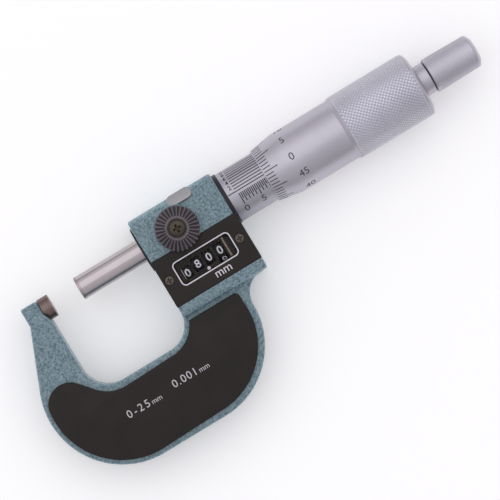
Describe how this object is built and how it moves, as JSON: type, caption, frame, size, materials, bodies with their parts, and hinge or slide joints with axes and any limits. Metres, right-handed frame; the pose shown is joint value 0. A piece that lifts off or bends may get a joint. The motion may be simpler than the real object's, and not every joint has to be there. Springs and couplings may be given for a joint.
{
  "type": "outside micrometer",
  "caption": "Outside micrometer with C-frame, black grip plates, mechanical digit counter, locking knob, graduated sleeve, knurled thimble and ratchet stop",
  "frame": {"origin": "centre of the anvil's measuring face, on the spindle axis", "axes": "+X from the anvil along the spindle to the ratchet, +Y up the C-frame towards the spindle, +Z out of the front face with the counter; the tool lies on its flat back"},
  "size_m": [0.1436, 0.0566, 0.0209],
  "materials": {
    "hammer_paint": "hammered grey-green paint on forged steel",
    "satin_chrome": "satin chrome plate",
    "carbide": "lapped hard facing",
    "black_plate": "satin black",
    "clear_window": "clear",
    "black_plastic": "matte black",
    "dark_steel": "blackened steel",
    "black_ring": "satin black",
    "brass": "machined brass",
    "steel": "ground steel"
  },
  "bodies": {
    "frame": {"frame": "hammer_paint", "anvil": "satin_chrome", "anvil_tip": "carbide", "front_grip_plate": "black_plate", "rear_grip_plate": "black_plate", "counter_cover": "black_plate", "counter_window": "clear_window", "digit_mask": "black_plastic", "cover_screws": "dark_steel", "spindle_seal_ring": "black_ring", "sleeve_shoulder_ring": "black_ring", "top_plug": "satin_chrome", "front_bush": "brass", "inner_sleeve": "steel", "adjusting_nut": "steel", "graduated_sleeve": "satin_chrome", "counter_shaft": "steel", "idler_arbor": "steel", "transfer_shaft": "steel", "counter_bracket": "brass", "lock_bush": "brass"},
    "drive_gear": {"drive_gear": "brass", "drive_key": "steel"},
    "spindle": {"spindle": "satin_chrome", "spindle_tip": "carbide", "thimble": "satin_chrome", "ratchet_stud": "satin_chrome", "ratchet_spring": "steel", "ratchet_screw": "dark_steel"},
    "ratchet_clutch": {"ratchet_clutch": "steel"},
    "ratchet_knob": {"ratchet_knob": "satin_chrome"},
    "idler": {"idler_gear": "brass", "idler_pinion": "brass"},
    "wheel_tens": {"number_wheel_tens": "black_plastic"},
    "wheel_units": {"number_wheel_units": "black_plastic"},
    "wheel_tenths": {"number_wheel_tenths": "black_plastic"},
    "wheel_hundredths": {"number_wheel_hundredths": "black_plastic", "counter_gear": "brass"},
    "transfer_1": {"transfer_pinion_1": "brass"},
    "transfer_2": {"transfer_pinion_2": "brass"},
    "transfer_3": {"transfer_pinion_3": "brass"},
    "lock_pad": {"lock_pad": "brass"},
    "lock_knob": {"lock_stem": "steel", "lock_knob": "black_plate", "lock_knob_screw": "dark_steel"}
  },
  "joints": [
    {"name": "spindle_turn", "type": "hinge", "parent": "frame", "child": "drive_gear", "pos_m": [0.05, 0, 0], "axis": [1, 0, 0], "range_deg": [-5755.8, 12243]},
    {"name": "spindle_feed", "type": "slide", "parent": "drive_gear", "child": "spindle", "axis": [1, 0, 0], "range_m": [-0.00799, 0.017]},
    {"name": "ratchet_spin", "type": "hinge", "parent": "spindle", "child": "ratchet_knob", "pos_m": [0.12, 0, 0], "axis": [1, 0, 0], "continuous": true},
    {"name": "ratchet_click", "type": "slide", "parent": "spindle", "child": "ratchet_clutch", "axis": [1, 0, 0], "range_m": [-0.0004, 0], "stiffness_N_per_m": 200},
    {"name": "lock_feed", "type": "slide", "parent": "frame", "child": "lock_pad", "axis": [0, 0, -1], "range_m": [0, 0.000125]},
    {"name": "lock_turn", "type": "hinge", "parent": "lock_pad", "child": "lock_knob", "pos_m": [0.03795, 0, 0.0105], "axis": [0, 0, -1], "range_deg": [-1, 91]},
    {"name": "idler_spin", "type": "hinge", "parent": "frame", "child": "idler", "pos_m": [0.048, -0.0069, -0.00364], "axis": [1, 0, 0], "range_deg": [-40829.99, 19205.99]},
    {"name": "wheel_hundredths_spin", "type": "hinge", "parent": "frame", "child": "wheel_hundredths", "pos_m": [0.0443, -0.01, 0.0015], "axis": [1, 0, 0], "range_deg": [-28808.98, 61244.98]},
    {"name": "wheel_tenths_spin", "type": "hinge", "parent": "frame", "child": "wheel_tenths", "pos_m": [0.04095, -0.01, 0.0015], "axis": [1, 0, 0], "range_deg": [-2880.9, 6124.5]},
    {"name": "wheel_units_spin", "type": "hinge", "parent": "frame", "child": "wheel_units", "pos_m": [0.0376, -0.01, 0.0015], "axis": [1, 0, 0], "range_deg": [-288.64, 613]},
    {"name": "wheel_tens_spin", "type": "hinge", "parent": "frame", "child": "wheel_tens", "pos_m": [0.03425, -0.01, 0.0015], "axis": [1, 0, 0], "range_deg": [-29.76, 62.2]},
    {"name": "transfer_3_spin", "type": "hinge", "parent": "frame", "child": "transfer_3", "pos_m": [0.0425, -0.0128, -0.00335], "axis": [1, 0, 0], "range_deg": [-15311.25, 7202.24]},
    {"name": "transfer_2_spin", "type": "hinge", "parent": "frame", "child": "transfer_2", "pos_m": [0.0392, -0.0128, -0.00335], "axis": [1, 0, 0], "range_deg": [-1531.12, 720.23]},
    {"name": "transfer_1_spin", "type": "hinge", "parent": "frame", "child": "transfer_1", "pos_m": [0.0359, -0.0128, -0.00335], "axis": [1, 0, 0], "range_deg": [-154, 72.91]}
  ],
  "couplings": [
    {"joint": "spindle_turn", "follows": "spindle_feed", "rad_per_m": 12566},
    {"joint": "lock_turn", "follows": "lock_feed", "rad_per_m": 12566},
    {"joint": "idler_spin", "follows": "spindle_feed", "rad_per_m": -41888},
    {"joint": "wheel_hundredths_spin", "follows": "spindle_feed", "rad_per_m": 62832},
    {"joint": "wheel_tenths_spin", "follows": "spindle_feed", "rad_per_m": 6283.2},
    {"joint": "wheel_units_spin", "follows": "spindle_feed", "rad_per_m": 628.32},
    {"joint": "wheel_tens_spin", "follows": "spindle_feed", "rad_per_m": 62.832},
    {"joint": "transfer_3_spin", "follows": "spindle_feed", "rad_per_m": -15708},
    {"joint": "transfer_2_spin", "follows": "spindle_feed", "rad_per_m": -1570.8},
    {"joint": "transfer_1_spin", "follows": "spindle_feed", "rad_per_m": -157.08}
  ]
}
